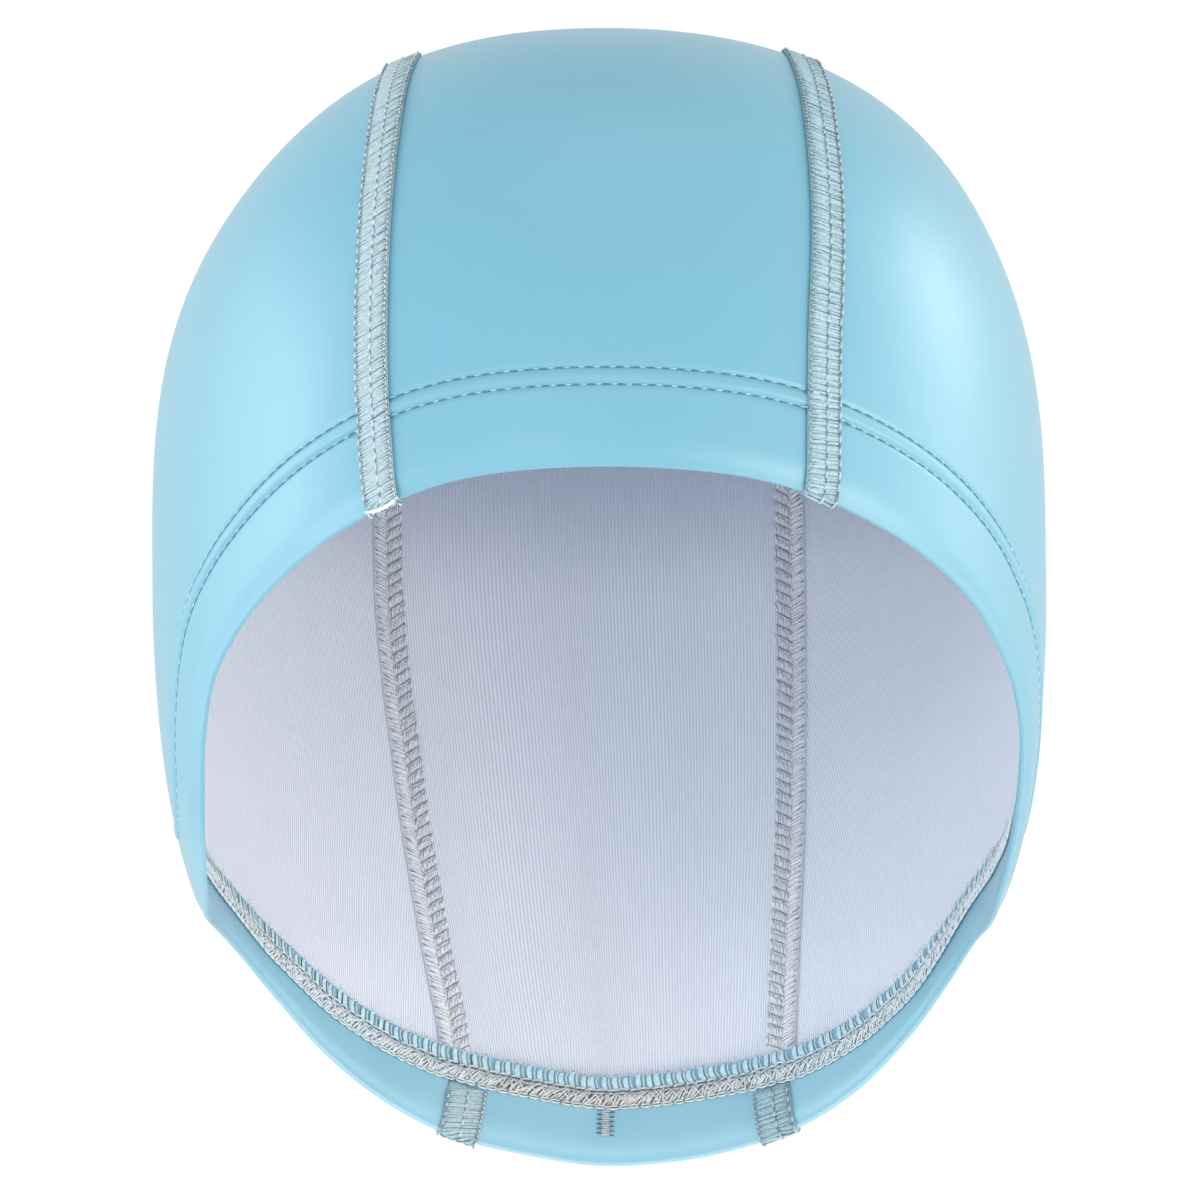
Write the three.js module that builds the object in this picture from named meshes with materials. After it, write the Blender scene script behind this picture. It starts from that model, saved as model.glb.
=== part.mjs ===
// Swim cap of coated stretch cloth, in the shape that it has on a head: a middle panel from brow to
// nape and a side panel over each ear. Two flat seams join the panels, with a wide band of thread
// outside and a narrower one inside. The rim is turned in as a hem, held by one ring of cover stitching.
// Millimetres. +X is to the right, +Y runs from brow to nape and +Z is up.
// The origin is the inner face of the crown, where the cap sits on the head.

import * as THREE from 'three';

const { Vector3 } = THREE;
const { clamp, degToRad, radToDeg } = THREE.MathUtils;

// The filled shape, measured from the centre of its widest level, at the temples.
const HALF_WIDTH = 79.8;
const BROW_REACH = 96;
const NAPE_REACH = 100;
const CROWN_RISE = 88.6;
const PLAN_ROUNDNESS = 2.15;
const DOME_ROUNDNESS = 2.6;

// How far the brow and the nape draw in at one depth below the temples; it grows as the depth squared.
const BROW_TUCK = { inward: 3, depth: 60 };
const NAPE_TUCK = { inward: 30, depth: 111 };

// How far each side draws in, by depth below the temples.
const SIDE_TUCK = [
  { depth: 0, inward: 0 },
  { depth: 20, inward: 0.3 },
  { depth: 40, inward: 2 },
  { depth: 55, inward: 4.8 },
  { depth: 69, inward: 8.9 },
  { depth: 85, inward: 12.2 },
  { depth: 112, inward: 17.9 },
];

// The dome's shoulders have sunk a little, the left one more.
const DENTS = [
  { centre: new Vector3(-57, -14, 66), depth: 3, reach: 21 },
  { centre: new Vector3(70, -8, 56), depth: 1, reach: 14 },
];

// Points of the cloth are found along rays from this point, in the middle of the head opening.
const CORE = new Vector3(0, 0, -108);

const CLOTH = 1;
const GAP = 0.3;
const HEM_DEPTH = 18.4;
const FOLD_RADIUS = CLOTH + GAP / 2;

// The inner bands stand further off the cloth, because its flat facets reach a little into the cap.
const OUTER_SEAM = { width: 6.2, thickness: 0.8, gap: GAP };
const INNER_SEAM = { width: 5.6, thickness: 0.7, gap: 0.6 };
const COVER_STITCH = { from: 11.2, to: 15.3, thickness: 0.7 };
const NAPE_TACK = { azimuth: 179, width: 2.4, from: 5.3, to: 10.8, thickness: 0.7 };

// Height of the folded rim by azimuth round the head, from the brow at 0 to the nape at 180.
const RIM = [
  { azimuth: 0, left: -1.7, right: -1.7 },
  { azimuth: 12, left: -2.5, right: -2.7 },
  { azimuth: 20, left: -4.9, right: -4.9 },
  { azimuth: 30, left: -10.7, right: -9.7 },
  { azimuth: 40, left: -18.5, right: -15.7 },
  { azimuth: 48, left: -25.8, right: -21.4 },
  { azimuth: 54, left: -32.8, right: -26.8 },
  { azimuth: 58, left: -41.4, right: -30.2 },
  { azimuth: 62, left: -51.3, right: -34.2 },
  { azimuth: 67, left: -59.2, right: -40.6 },
  { azimuth: 71, left: -62.8, right: -48.8 },
  { azimuth: 77, left: -66.4, right: -59 },
  { azimuth: 86, left: -68, right: -66.8 },
  { azimuth: 97, left: -67.7, right: -69.4 },
  { azimuth: 108, left: -68.7, right: -71.2 },
  { azimuth: 118, left: -72.2, right: -77.6 },
  { azimuth: 128, left: -79, right: -86.2 },
  { azimuth: 138, left: -88.2, right: -94.8 },
  { azimuth: 148, left: -96.3, right: -101.2 },
  { azimuth: 158, left: -102.2, right: -105 },
  { azimuth: 168, left: -105.4, right: -107.2 },
  { azimuth: 180, left: -107.8, right: -107.8 },
];

// How much closer to the fold the raw edge and its stitching come, by azimuth: the hem is narrower
// behind the ears than over the brow and at the nape.
const HEM_NARROWS = [
  { azimuth: 0, by: 0 },
  { azimuth: 76, by: 0 },
  { azimuth: 92, by: 0 },
  { azimuth: 108, by: 4.4 },
  { azimuth: 121, by: 6.6 },
  { azimuth: 130, by: 5.4 },
  { azimuth: 138, by: 3.8 },
  { azimuth: 146, by: 2.3 },
  { azimuth: 154, by: 1 },
  { azimuth: 163, by: 0 },
  { azimuth: 180, by: 0 },
];

// Sideways place of each seam by its angle over the head: level ahead is 0 and straight up is 90.
const SEAM = [
  { angle: 44, left: -37.2, right: 36.2 },
  { angle: 50, left: -38.2, right: 36.3 },
  { angle: 56, left: -39.4, right: 36.8 },
  { angle: 62, left: -38.8, right: 37.9 },
  { angle: 70, left: -36.7, right: 37.3 },
  { angle: 80, left: -34.4, right: 35.8 },
  { angle: 104, left: -36.4, right: 36.8 },
  { angle: 127, left: -39.4, right: 38.8 },
  { angle: 140, left: -35.3, right: 38.3 },
  { angle: 152, left: -30.7, right: 36.5 },
  { angle: 163, left: -27, right: 35.2 },
  { angle: 180, left: -25.6, right: 33.9 },
];

// A side panel's edge is the seam, then the rim below it, which these azimuths part into three runs.
const EAR_FRONT = 60;
const EAR_BACK = 126;

const CELLS_ALONG = 36;
const CELLS_ACROSS_MIDDLE = 10;
const CELLS_DOWN_SIDE = 11;
const CELLS_ROUND_FOLD = 3;
const CELLS_UP_HEM = 2;
const CELLS_ROUND_RIM = 72;

// A smooth value from a column of a table: a cubic between rows, with no corner at a row.
function column(table, key, name, at) {
  const last = table.length - 1;
  const before = table.findLastIndex((row) => row[key] <= at);
  const i = clamp(before, 0, last - 1);
  const slope = (k) => {
    const low = table[Math.max(k - 1, 0)];
    const high = table[Math.min(k + 1, last)];
    return (high[name] - low[name]) / (high[key] - low[key]);
  };
  const span = table[i + 1][key] - table[i][key];
  const t = clamp((at - table[i][key]) / span, 0, 1);
  return (
    (1 + 2 * t) * (1 - t) ** 2 * table[i][name] +
    t * (1 - t) ** 2 * span * slope(i) +
    (3 - 2 * t) * t ** 2 * table[i + 1][name] -
    (1 - t) * t ** 2 * span * slope(i + 1)
  );
}

const spread = (from, to, cells) =>
  Array.from({ length: cells + 1 }, (unused, i) => from + ((to - from) * i) / cells);

// Below zero inside the filled shape and above zero outside it: a rounded dome over an oval plan,
// and under the temples the same plan drawn in.
function shape(p) {
  const depth = Math.max(-p.z, 0);
  const rise = Math.max(p.z, 0) / CROWN_RISE;
  const side = HALF_WIDTH - column(SIDE_TUCK, 'depth', 'inward', depth);
  const [reach, tuck] = p.y < 0 ? [BROW_REACH, BROW_TUCK] : [NAPE_REACH, NAPE_TUCK];
  const end = reach - tuck.inward * (depth / tuck.depth) ** 2;
  const plan = Math.abs(p.x / side) ** PLAN_ROUNDNESS + Math.abs(p.y / end) ** PLAN_ROUNDNESS;
  return plan ** (DOME_ROUNDNESS / PLAN_ROUNDNESS) + rise ** DOME_ROUNDNESS - 1;
}

// Where a line from inside the filled shape leaves it, by halving the stretch that holds the surface.
function leave(start, direction) {
  let near = 0;
  let far = 230;
  const p = new Vector3();
  for (let halving = 0; halving < 40; halving += 1) {
    const middle = (near + far) / 2;
    if (shape(p.copy(start).addScaledVector(direction, middle)) < 0) near = middle;
    else far = middle;
  }
  return p;
}

// The outward direction of the surface through a point, from the slope of the shape.
function outward(p) {
  const step = 0.05;
  const slope = (axis) => {
    const ahead = p.clone();
    const behind = p.clone();
    ahead[axis] += step;
    behind[axis] -= step;
    return shape(ahead) - shape(behind);
  };
  return new Vector3(slope('x'), slope('y'), slope('z')).normalize();
}

// The point in the direction of `toward` that is `lift` off the cloth's coated face.
function onCloth(toward, lift = 0) {
  const p = leave(CORE, toward.clone().sub(CORE).normalize());
  const sunk = DENTS.reduce((sum, { centre, depth, reach }) => {
    return sum + depth * Math.exp(-p.distanceToSquared(centre) / (2 * reach ** 2));
  }, 0);
  return p.clone().addScaledVector(outward(p), lift - sunk);
}

const azimuthOf = (p) => radToDeg(Math.atan2(p.x, -p.y));

// Azimuths are counted to the right from the brow; to the left they are negative, or above 180.
function rimHeight(azimuth) {
  const turn = degToRad(azimuth);
  const side = Math.sin(turn) < 0 ? 'left' : 'right';
  return column(RIM, 'azimuth', side, radToDeg(Math.acos(Math.cos(turn))));
}

function hemNarrows(azimuth) {
  return column(HEM_NARROWS, 'azimuth', 'by', radToDeg(Math.acos(Math.cos(degToRad(azimuth)))));
}

function rimPoint(azimuth) {
  const turn = degToRad(azimuth);
  return leave(new Vector3(0, 0, rimHeight(azimuth)), new Vector3(Math.sin(turn), -Math.cos(turn), 0));
}

// The start of the hem's fold: a point of the coated face, its outward direction and the way up the cloth.
function foldStart(azimuth) {
  const rim = rimPoint(azimuth);
  const along = rimPoint(azimuth + 0.5).sub(rimPoint(azimuth - 0.5)).normalize();
  const up = new Vector3().crossVectors(outward(rim), along).normalize();
  if (up.z < 0) up.negate();
  const p = onCloth(rim.addScaledVector(up, FOLD_RADIUS));
  return { p, up, out: outward(p), narrows: hemNarrows(azimuth) };
}

// Fold starts at even distances along the rim.
function rimRun(from, to, cells) {
  const samples = spread(from, to, cells * 20).map((azimuth) => ({ azimuth, p: rimPoint(azimuth) }));
  samples[0].travelled = 0;
  for (let i = 1; i < samples.length; i += 1) {
    samples[i].travelled = samples[i - 1].travelled + samples[i].p.distanceTo(samples[i - 1].p);
  }
  const whole = samples.at(-1).travelled;
  return spread(0, whole, cells).map((distance) => foldStart(column(samples, 'travelled', 'azimuth', distance)));
}

// A point of one seam, -1 on the left and 1 on the right, moved `aside` along the cloth, off the middle panel.
function seamPoint(side, angle, aside = 0) {
  const turn = degToRad(angle);
  const x = column(SEAM, 'angle', side < 0 ? 'left' : 'right', angle);
  const p = leave(new Vector3(x, CORE.y, CORE.z), new Vector3(0, -Math.cos(turn), Math.sin(turn)));
  if (aside === 0) return p;
  const along = seamPoint(side, angle + 0.5).sub(seamPoint(side, angle - 0.5));
  const across = new Vector3().crossVectors(along, outward(p)).normalize();
  return p.addScaledVector(across, aside * Math.sign(across.x) * side);
}

// Angles at which a seam comes down to a height above the rim, at the brow and at the nape.
function seamEnds(side, aside, above) {
  return [20, 200].map((past) => {
    let inside = 90;
    let outside = past;
    for (let halving = 0; halving < 30; halving += 1) {
      const middle = (inside + outside) / 2;
      const p = seamPoint(side, middle, aside);
      if (p.z > rimHeight(azimuthOf(p)) + above) inside = middle;
      else outside = middle;
    }
    return inside;
  });
}

function seamRun(side, aside, above) {
  const [brow, nape] = seamEnds(side, aside, above);
  return spread(brow, nape, CELLS_ALONG).map((angle) => seamPoint(side, angle, aside));
}

// A line along a seam from fold to fold, and the azimuths at which it reaches the folds.
function seamEdge(side, aside) {
  const points = seamRun(side, aside, FOLD_RADIUS);
  const azimuths = [points[0], points.at(-1)].map(azimuthOf);
  const [brow, nape] = azimuths.map((azimuth) => foldStart(azimuth).p);
  return { points: [brow, ...points.slice(1, -1), nape], azimuths };
}

// A spot is a place on the cloth. Called with a lift off the coated face, it gives the point there.
const wallSpot = (toward) => (lift) => onCloth(toward, lift);

// Round the fold: turn 0 is the outer wall and turn 1 the turned-in cloth, with the coated face outside.
const foldSpot = ({ p, up, out }, turn) => (lift) => {
  const radius = FOLD_RADIUS + lift;
  return p
    .clone()
    .addScaledVector(out, radius * Math.cos(turn * Math.PI) - FOLD_RADIUS)
    .addScaledVector(up, -radius * Math.sin(turn * Math.PI));
};

// On the turned-in cloth, whose coated face looks into the cap, at a distance from the fold that is
// less where the hem narrows. The stitching keeps its own width.
const hemSpot = ({ p, up, narrows }, distance) => (lift) => {
  const nearer = narrows * Math.min(distance / COVER_STITCH.from, 1);
  return onCloth(p.clone().addScaledVector(up, distance - nearer), -2 * FOLD_RADIUS - lift);
};

// Spots joined by triangles. As a solid, it fills the cloth or thread between two lifts.
class Sheet {
  spots = [];

  triangles = [];

  addRow(spots) {
    return spots.map((spot) => this.spots.push(spot) - 1);
  }

  // Two triangles for each cell between neighbouring rows; `closed` also joins each row's ends.
  joinRows(rows, closed = false) {
    for (let i = 0; i + 1 < rows.length; i += 1) {
      const [row, next] = [rows[i], rows[i + 1]];
      const cells = closed ? row.length : row.length - 1;
      for (let j = 0; j < cells; j += 1) {
        const k = (j + 1) % row.length;
        this.triangles.push([row[j], next[j], next[k]], [row[j], next[k], row[k]]);
      }
    }
  }

  // Both faces, and a wall along every edge that only one triangle has.
  solid(low, high) {
    const count = this.spots.length;
    const points = [high, low].flatMap((lift) => this.spots.map((spot) => spot(lift)));
    const edges = new Map();
    for (const [a, b, c] of this.triangles) {
      for (const [from, to] of [[a, b], [b, c], [c, a]]) edges.set(`${from} ${to}`, [from, to]);
    }
    const faces = this.triangles.flatMap(([a, b, c]) => [[a, b, c], [a + count, c + count, b + count]]);
    for (const [from, to] of edges.values()) {
      if (edges.has(`${to} ${from}`)) continue;
      faces.push([from, from + count, to + count], [from, to + count, to]);
    }
    const volume = faces.reduce((sum, [a, b, c]) => {
      return sum + points[a].dot(new Vector3().crossVectors(points[b], points[c]));
    }, 0);
    if (volume < 0) faces.forEach((face) => face.reverse());
    const geometry = new THREE.BufferGeometry();
    geometry.setAttribute('position', new THREE.Float32BufferAttribute(points.flatMap((p) => [...p]), 3));
    geometry.setIndex(faces.flat());
    geometry.computeVertexNormals();
    return geometry;
  }
}

// A grid of places stretched between four edges: each inner one is a blend of the four edges' places
// level with it. `top` and `bottom` run along the grid's rows, `left` and `right` down its columns.
function stretchedGrid({ top, bottom, left, right }) {
  const rows = left.length - 1;
  const columns = top.length - 1;
  return left.map((unusedPlace, i) =>
    top.map((unusedTop, j) => {
      const [down, over] = [i / rows, j / columns];
      return new Vector3()
        .addScaledVector(top[j], 1 - down)
        .addScaledVector(bottom[j], down)
        .addScaledVector(left[i], 1 - over)
        .addScaledVector(right[i], over)
        .addScaledVector(top[0], -(1 - down) * (1 - over))
        .addScaledVector(top[columns], -(1 - down) * over)
        .addScaledVector(bottom[0], -down * (1 - over))
        .addScaledVector(bottom[columns], -down * over);
    }),
  );
}

// One panel with its hem turned in. Each hem is a run of fold starts and the grid cells' corners that it
// starts from, as [row, column], taken round the grid with the panel on the same hand.
function panel(edges, hems) {
  const sheet = new Sheet();
  const grid = stretchedGrid(edges).map((places) => sheet.addRow(places.map(wallSpot)));
  sheet.joinRows(grid);
  for (const { run, corners } of hems) {
    const start = corners.map(([row, place]) => grid[row][place]);
    start.forEach((number, i) => {
      sheet.spots[number] = foldSpot(run[i], 0);
    });
    const turns = spread(0, 1, CELLS_ROUND_FOLD).slice(1);
    const distances = spread(0, HEM_DEPTH, CELLS_UP_HEM).slice(1);
    const fold = turns.map((turn) => sheet.addRow(run.map((place) => foldSpot(place, turn))));
    const turnedIn = distances.map((distance) => sheet.addRow(run.map((place) => hemSpot(place, distance))));
    sheet.joinRows([start, ...fold, ...turnedIn]);
  }
  return sheet.solid(-CLOTH, 0);
}

const pointsOf = (run) => run.map(({ p }) => p);
const count = (from, to) => spread(from, to, Math.abs(to - from));

function middlePanel() {
  const left = seamEdge(-1, -GAP / 2);
  const right = seamEdge(1, -GAP / 2);
  const brow = rimRun(left.azimuths[0], right.azimuths[0], CELLS_ACROSS_MIDDLE);
  const nape = rimRun(left.azimuths[1] + 360, right.azimuths[1], CELLS_ACROSS_MIDDLE);
  const edges = { top: pointsOf(brow), bottom: pointsOf(nape), left: left.points, right: right.points };
  const browCorners = count(CELLS_ACROSS_MIDDLE, 0).map((place) => [0, place]);
  const napeCorners = count(0, CELLS_ACROSS_MIDDLE).map((place) => [CELLS_ALONG, place]);
  return panel(edges, [
    { run: brow.toReversed(), corners: browCorners },
    { run: nape, corners: napeCorners },
  ]);
}

function sidePanel(side) {
  const seam = seamEdge(side, GAP / 2);
  const front = rimRun(seam.azimuths[0], side * EAR_FRONT, CELLS_DOWN_SIDE);
  const ear = rimRun(side * EAR_FRONT, side * EAR_BACK, CELLS_ALONG);
  const back = rimRun(side * EAR_BACK, seam.azimuths[1], CELLS_DOWN_SIDE);
  const edges = {
    top: seam.points,
    bottom: pointsOf(ear),
    left: pointsOf(front),
    right: pointsOf(back).reverse(),
  };
  const run = [...front, ...ear.slice(1), ...back.slice(1)];
  const corners = [
    ...count(0, CELLS_DOWN_SIDE).map((row) => [row, 0]),
    ...count(1, CELLS_ALONG).map((place) => [CELLS_DOWN_SIDE, place]),
    ...count(CELLS_DOWN_SIDE - 1, 0).map((row) => [row, CELLS_ALONG]),
  ];
  return panel(edges, [{ run, corners }]);
}

// The wide band of thread outside a seam. It goes round the fold at each end and up the turned-in cloth.
function outerSeam(side) {
  const sheet = new Sheet();
  const rows = spread(-OUTER_SEAM.width / 2, OUTER_SEAM.width / 2, 2).map((aside) => {
    const { points, azimuths } = seamEdge(side, aside);
    const [brow, nape] = azimuths.map(foldStart);
    const turns = spread(0, 1, CELLS_ROUND_FOLD);
    const distances = spread(0, COVER_STITCH.from - GAP, CELLS_UP_HEM).slice(1);
    const turnedIn = (place) => [
      ...turns.map((turn) => foldSpot(place, turn)),
      ...distances.map((distance) => hemSpot(place, distance)),
    ];
    return sheet.addRow([...turnedIn(brow).reverse(), ...points.slice(1, -1).map(wallSpot), ...turnedIn(nape)]);
  });
  sheet.joinRows(rows);
  return sheet.solid(OUTER_SEAM.gap, OUTER_SEAM.gap + OUTER_SEAM.thickness);
}

// The narrower band inside, between the two ends of the turned-in cloth.
function innerSeam(side) {
  const sheet = new Sheet();
  const clearOfHem = HEM_DEPTH * 1.1;
  const rows = spread(-INNER_SEAM.width / 2, INNER_SEAM.width / 2, 2).map((aside) =>
    sheet.addRow(seamRun(side, aside, clearOfHem).map(wallSpot)),
  );
  sheet.joinRows(rows);
  const top = -CLOTH - INNER_SEAM.gap;
  return sheet.solid(top - INNER_SEAM.thickness, top);
}

// The ring of cover stitching that holds the hem, over the turned-in cloth and its edge.
function coverStitch() {
  const sheet = new Sheet();
  const run = rimRun(-180, 180, CELLS_ROUND_RIM).slice(0, -1);
  const rows = [COVER_STITCH.from, COVER_STITCH.to].map((distance) =>
    sheet.addRow(run.map((place) => hemSpot(place, distance))),
  );
  sheet.joinRows(rows, true);
  return sheet.solid(GAP, GAP + COVER_STITCH.thickness);
}

// The short bar of thread across the hem at the nape, where the ring of stitching starts and ends.
function napeTack() {
  const sheet = new Sheet();
  const middle = rimPoint(NAPE_TACK.azimuth);
  const halfTurn = radToDeg(NAPE_TACK.width / 2 / Math.hypot(middle.x, middle.y));
  const places = [-halfTurn, 0, halfTurn].map((turn) => foldStart(NAPE_TACK.azimuth + turn));
  const rows = spread(NAPE_TACK.from, NAPE_TACK.to, 2).map((distance) =>
    sheet.addRow(places.map((place) => hemSpot(place, distance))),
  );
  sheet.joinRows(rows);
  return sheet.solid(GAP, GAP + NAPE_TACK.thickness);
}

const coatedBlue = new THREE.MeshStandardMaterial({ color: '#8cc6da', roughness: 0.38, metalness: 0 });
const seamThread = new THREE.MeshStandardMaterial({ color: '#c9d2d6', roughness: 0.8, metalness: 0 });
const hemThread = new THREE.MeshStandardMaterial({ color: '#aeb4b6', roughness: 0.85, metalness: 0 });

const PIECES = [
  { name: 'middle_panel', geometry: middlePanel(), material: coatedBlue },
  { name: 'side_panel_left', geometry: sidePanel(-1), material: coatedBlue },
  { name: 'side_panel_right', geometry: sidePanel(1), material: coatedBlue },
  { name: 'outer_seam_left', geometry: outerSeam(-1), material: seamThread },
  { name: 'outer_seam_right', geometry: outerSeam(1), material: seamThread },
  { name: 'inner_seam_left', geometry: innerSeam(-1), material: seamThread },
  { name: 'inner_seam_right', geometry: innerSeam(1), material: seamThread },
  { name: 'hem_cover_stitch', geometry: coverStitch(), material: hemThread },
  { name: 'nape_tack', geometry: napeTack(), material: hemThread },
];

// Everything above is measured from the widest level; the group brings the crown's inner face to zero.
const cap = new THREE.Group();
cap.position.z = CLOTH - CROWN_RISE;
for (const { name, geometry, material } of PIECES) {
  const piece = new THREE.Mesh(geometry, material);
  piece.name = name;
  cap.add(piece);
}

export default cap;
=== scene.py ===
# %% [markdown]
# # Swim cap of coated stretch cloth
# The cap is shown filled out, as on a head, and seen from the brow, so that the far inside and the hem
# turned in at the nape show under the arch of the forehead. Its shape comes from the same few numbers
# as the CAD source: a rounded dome over an oval plan, a rim that rises over the brow and dips at the
# nape, and two seams that run over the head. Everything is measured in millimetres from the centre of
# the cap's widest level, and is turned into the frame's metres when a mesh is made.

import math

import bpy
import numpy as np
from mathutils import Matrix


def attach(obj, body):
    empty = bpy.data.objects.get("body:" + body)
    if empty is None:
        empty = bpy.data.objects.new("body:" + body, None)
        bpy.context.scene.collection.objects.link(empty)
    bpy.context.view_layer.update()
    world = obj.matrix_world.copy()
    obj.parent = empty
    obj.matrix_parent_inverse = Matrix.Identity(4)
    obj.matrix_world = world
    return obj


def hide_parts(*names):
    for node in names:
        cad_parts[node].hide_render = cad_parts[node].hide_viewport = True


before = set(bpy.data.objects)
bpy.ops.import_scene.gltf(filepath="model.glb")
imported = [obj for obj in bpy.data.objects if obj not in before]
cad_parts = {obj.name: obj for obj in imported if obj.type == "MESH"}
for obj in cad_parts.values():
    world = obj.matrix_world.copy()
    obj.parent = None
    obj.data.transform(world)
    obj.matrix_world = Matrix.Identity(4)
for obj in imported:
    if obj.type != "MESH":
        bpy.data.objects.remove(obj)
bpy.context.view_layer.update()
print("CAD nodes:", len(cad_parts))

# %% [markdown]
# ## The shape of the filled cap
# A head is not a sphere, so the dome is a superellipse, which gives wide shoulders and a rounded crown.
# It could also be sculpted by hand, but a formula can be asked for the surface in any direction, and
# the hem, the seams and every stitch are then laid on it exactly. Below the temples the plan draws in,
# by a small table at the sides and by a square law at brow and nape.

# %% Sizes of the dome
HALF_WIDTH = 79.8
BROW_REACH = 96.0
NAPE_REACH = 100.0
CROWN_RISE = 88.6
PLAN_ROUNDNESS = 2.15
DOME_ROUNDNESS = 2.6
BROW_TUCK = (3.0, 60.0)
NAPE_TUCK = (30.0, 111.0)
CORE = np.array([0.0, 0.0, -108.0])

# Depth below the temples, then how far each side draws in.
SIDE_TUCK = np.array([[0, 0], [20, 0.3], [40, 2], [55, 4.8], [69, 8.9], [85, 12.2], [112, 17.9]])

# Sunken places of the shoulders: x, y and z of the centre, depth, reach.
DENTS = np.array([[-57.0, -14, 66, 3, 21], [70, -8, 56, 1, 14]])


# %% Smooth values from a table
def column(table, name, at):
    """Cubic through a table's rows, which has at each row the slope between the row's neighbours."""
    x, y = table[:, 0], table[:, name]
    slope = np.empty(len(y))
    slope[1:-1] = (y[2:] - y[:-2]) / (x[2:] - x[:-2])
    slope[0] = (y[1] - y[0]) / (x[1] - x[0])
    slope[-1] = (y[-1] - y[-2]) / (x[-1] - x[-2])
    at = np.clip(at, x[0], x[-1])
    i = np.clip(np.searchsorted(x, at, side="right") - 1, 0, len(x) - 2)
    span = x[i + 1] - x[i]
    t = (at - x[i]) / span
    leaving = (1 + 2 * t) * (1 - t) ** 2 * y[i] + t * (1 - t) ** 2 * span * slope[i]
    return leaving + (3 - 2 * t) * t**2 * y[i + 1] - (1 - t) * t**2 * span * slope[i + 1]


# %% The dome
def shape(p):
    """(|x / side|^r + |y / end|^r)^(d / r) + (height / rise)^d - 1, which is below 0 inside the cap."""
    x, y, z = np.moveaxis(p, -1, 0)
    depth = np.maximum(-z, 0)
    side = HALF_WIDTH - column(SIDE_TUCK, 1, depth)
    brow = BROW_REACH - BROW_TUCK[0] * (depth / BROW_TUCK[1]) ** 2
    nape = NAPE_REACH - NAPE_TUCK[0] * (depth / NAPE_TUCK[1]) ** 2
    end = np.where(y < 0, brow, nape)
    plan = np.abs(x / side) ** PLAN_ROUNDNESS + np.abs(y / end) ** PLAN_ROUNDNESS
    rise = np.maximum(z, 0) / CROWN_RISE
    return plan ** (DOME_ROUNDNESS / PLAN_ROUNDNESS) + rise**DOME_ROUNDNESS - 1


def leave(start, direction):
    """Where lines from inside leave the shape, by halving the stretch that holds the surface."""
    near = np.zeros(np.broadcast_shapes(start.shape, direction.shape)[:-1] + (1,))
    far = near + 230
    for _ in range(26):
        middle = (near + far) / 2
        inside = shape(start + direction * middle)[..., None] < 0
        near, far = np.where(inside, middle, near), np.where(inside, far, middle)
    return start + direction * far


def unit(v):
    """Each vector divided by its length."""
    return v / np.linalg.norm(v, axis=-1, keepdims=True)


def outward(p):
    """The direction in which the shape's value grows fastest, from its change over 0.1 mm."""
    steps = np.eye(3) * 0.05
    return unit(np.stack([shape(p + step) - shape(p - step) for step in steps], -1))


def on_cloth(toward, lift=0.0):
    """Points of the coated face in the directions of `toward` from the core, raised by `lift`."""
    p = leave(CORE, unit(toward - CORE))
    apart = ((p[..., None, :] - DENTS[:, :3]) ** 2).sum(-1)
    sunk = (DENTS[:, 3] * np.exp(-apart / (2 * DENTS[:, 4] ** 2))).sum(-1)
    return p + outward(p) * (lift - sunk)[..., None]


print("crown:", on_cloth(np.array([[0.0, 0, 50]])).round(2))

# %% [markdown]
# ## The rim
# The cap's edge is cut in a curve: high over the brow, down before the ear and lowest at the nape. The
# two sides of this cap don't match, so the rim is a height for every azimuth on each side. It is walked
# once in small steps, and everything that follows the hem reads its place from these steps.

# %% The rim and the fold
CLOTH = 1.0
FOLD_RADIUS = CLOTH + 0.15
FOLD_DROP = 0.6

# Distances from the fold: how deep the hem is turned in, and where its cover stitching starts and ends.
HEM_DEPTH = 18.4
COVER_FROM = 11.2
COVER_TO = 15.3

# Azimuth from the brow, then the rim's height on the left and on the right. The first and last rows lie
# past the brow's and the nape's middle, with the sides changed over, so the rim runs on without a corner.
RIM = np.array([
    [-12, -2.7, -2.5], [0, -1.7, -1.7], [12, -2.5, -2.7], [20, -4.9, -4.9], [30, -10.7, -9.7],
    [40, -18.5, -15.7], [48, -25.8, -21.4], [54, -32.8, -26.8], [58, -41.4, -30.2], [62, -51.3, -34.2],
    [67, -59.2, -40.6], [71, -62.8, -48.8], [77, -66.4, -59], [86, -68, -66.8], [97, -67.7, -69.4],
    [108, -68.7, -71.2], [118, -72.2, -77.6], [128, -79, -86.2], [138, -88.2, -94.8],
    [148, -96.3, -101.2], [158, -102.2, -105], [168, -105.4, -107.2], [180, -107.8, -107.8],
    [192, -107.2, -105.4],
])

# How much closer to the fold the raw edge and its stitching come, by azimuth: the hem is narrower behind
# the ears than over the brow and at the nape.
NARROWS = np.array([
    [0, 0], [76, 0], [92, 0], [108, 4.4], [121, 6.6], [130, 5.4], [138, 3.8], [146, 2.3], [154, 1], [163, 0],
    [180, 0],
])


def azimuth_of(p):
    """Degrees round the head from the brow, to the right; below 0 on the left."""
    return np.degrees(np.arctan2(p[..., 0], -p[..., 1]))


def rim_height(azimuth):
    """The rim table's height on the side that the azimuth is on."""
    turn = np.radians(azimuth)
    past = np.degrees(np.arccos(np.clip(np.cos(turn), -1, 1)))
    return np.where(np.sin(turn) < 0, column(RIM, 1, past), column(RIM, 2, past))


def rim_point(azimuth):
    """Where a level line at the rim's height and that azimuth leaves the shape."""
    turn = np.radians(azimuth)
    level = np.zeros_like(turn)
    start = np.stack([level, level, rim_height(azimuth)], -1)
    return leave(start, np.stack([np.sin(turn), -np.cos(turn), level], -1))


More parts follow.
